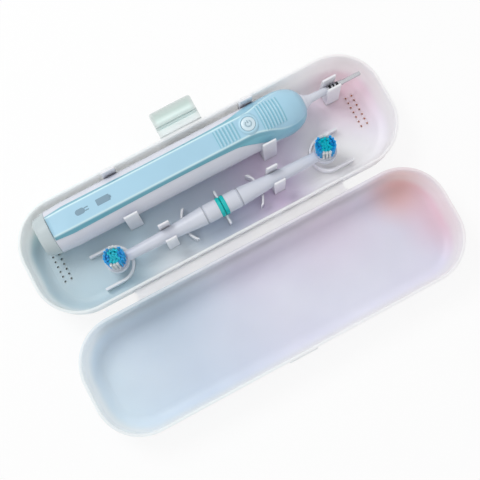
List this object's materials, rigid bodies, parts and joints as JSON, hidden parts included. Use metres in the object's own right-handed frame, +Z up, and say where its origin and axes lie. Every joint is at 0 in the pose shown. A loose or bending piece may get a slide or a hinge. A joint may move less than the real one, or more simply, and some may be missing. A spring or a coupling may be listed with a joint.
{
  "type": "electric toothbrush travel case",
  "caption": "Hinged frosted travel case lying open, with clips that hold an electric toothbrush handle and brush heads, a folding strip hinge and a front latch.",
  "frame": {"origin": "centre of the base tray's flat underside, the face it stands on", "axes": "+Z up out of the open tray, +X along the case towards the drive shaft's tip, +Y towards the latch; the open lid lies on the -Y side"},
  "size_m": [0.212, 0.1507, 0.0296],
  "materials": {
    "frosted": "frosted translucent polypropylene, satin, slightly tinted",
    "clip": "frosted translucent polypropylene, whiter where it stands up",
    "white_shell": "white moulded plastic, soft gloss",
    "blue_grip": "light blue soft-touch grip",
    "button_white": "white push button, soft gloss",
    "grey_window": "smoked grey light window",
    "seal": "black rubber",
    "steel": "ground steel",
    "brass": "plain brass",
    "copper": "enamelled copper winding",
    "inner_plastic": "natural moulded plastic",
    "board": "green circuit board",
    "lamp": "clear lamp",
    "cell": "sleeved rechargeable cell",
    "teal_ring": "teal plastic ring",
    "bristle": "nylon bristles, blue with a teal centre and white edge"
  },
  "bodies": {
    "base": {"base_tray": "frosted", "handle_clip_left": "clip", "handle_clip_right": "clip", "shaft_clip": "clip", "head_clip_left": "clip", "head_clip_right": "clip", "saddle_rib_left": "clip", "saddle_rib_right": "clip", "saddle_rib_middle": "clip", "guard_rib_left": "clip", "guard_rib_right": "clip"},
    "strip": {"hinge_strip": "frosted"},
    "lid": {"lid": "frosted"},
    "latch": {"latch_flap": "frosted"},
    "handle": {"handle_housing": "white_shell", "front_grip": "blue_grip", "end_cap": "white_shell", "end_cap_seal": "seal", "snout": "white_shell", "charge_light_window": "grey_window", "cell_light_window": "grey_window", "chassis": "inner_plastic", "circuit_board": "board", "push_switch": "inner_plastic", "indicator_leds": "lamp", "rechargeable_cell": "cell", "cell_contacts": "steel", "motor": "steel", "motor_pinion": "brass", "crank_wheel": "inner_plastic", "shaft_bearing": "brass", "shaft_seal": "seal", "charging_coil": "copper"},
    "button": {"power_button": "button_white"},
    "shaft": {"drive_shaft": "steel", "rocker": "steel"},
    "left_head": {"left_head_body": "white_shell", "left_colour_ring": "teal_ring", "left_disc_pin": "steel"},
    "left_disc": {"left_brush_disc": "white_shell", "left_bristles": "bristle"},
    "left_stem": {"left_drive_stem": "inner_plastic"},
    "right_head": {"right_head_body": "white_shell", "right_colour_ring": "teal_ring", "right_disc_pin": "steel"},
    "right_disc": {"right_brush_disc": "white_shell", "right_bristles": "bristle"},
    "right_stem": {"right_drive_stem": "inner_plastic"}
  },
  "joints": [
    {"name": "lid_fold", "type": "hinge", "parent": "strip", "child": "lid", "pos_m": [0, -0.03825, 0.017], "axis": [1, 0, 0], "range_deg": [-90, 0]},
    {"name": "strip_fold", "type": "hinge", "parent": "base", "child": "strip", "pos_m": [0, -0.03215, 0.017], "axis": [1, 0, 0], "range_deg": [-90, 0]},
    {"name": "latch_fold", "type": "hinge", "parent": "base", "child": "latch", "pos_m": [0, 0.03325, 0.0191], "axis": [-1, 0, 0], "range_deg": [-90, 60], "stiffness_Nm_per_rad": 0.0015},
    {"name": "handle_lift", "type": "slide", "parent": "base", "child": "handle", "axis": [0, 0, 1], "range_m": [0, 0.06]},
    {"name": "button_press", "type": "slide", "parent": "handle", "child": "button", "axis": [0, 0, -1], "range_m": [0, 0.0008], "stiffness_N_per_m": 1500, "springref_m": -0.0003},
    {"name": "shaft_swing", "type": "hinge", "parent": "handle", "child": "shaft", "pos_m": [0.085, 0.0156, 0.0149], "axis": [1, 0, 0], "range_deg": [-22, 22]},
    {"name": "left_head_lift", "type": "slide", "parent": "base", "child": "left_head", "axis": [0, 0, 1], "range_m": [0, 0.04]},
    {"name": "left_disc_swing", "type": "hinge", "parent": "left_head", "child": "left_disc", "pos_m": [-0.0625, -0.0133, 0.0115], "axis": [0, 0.1392, 0.9903], "range_deg": [-22, 22]},
    {"name": "left_stem_swing", "type": "hinge", "parent": "left_head", "child": "left_stem", "pos_m": [-0.03, -0.0133, 0.0115], "axis": [1, 0, 0], "range_deg": [-22, 22]},
    {"name": "right_head_lift", "type": "slide", "parent": "base", "child": "right_head", "axis": [0, 0, 1], "range_m": [0, 0.04]},
    {"name": "right_disc_swing", "type": "hinge", "parent": "right_head", "child": "right_disc", "pos_m": [0.0625, -0.0133, 0.0115], "axis": [0, 0.1392, 0.9903], "range_deg": [-22, 22]},
    {"name": "right_stem_swing", "type": "hinge", "parent": "right_head", "child": "right_stem", "pos_m": [0.03, -0.0133, 0.0115], "axis": [1, 0, 0], "range_deg": [-22, 22]}
  ],
  "couplings": [
    {"joint": "strip_fold", "follows": "lid_fold", "ratio": 1},
    {"joint": "left_stem_swing", "follows": "left_disc_swing", "ratio": -1},
    {"joint": "right_stem_swing", "follows": "right_disc_swing", "ratio": 1}
  ]
}
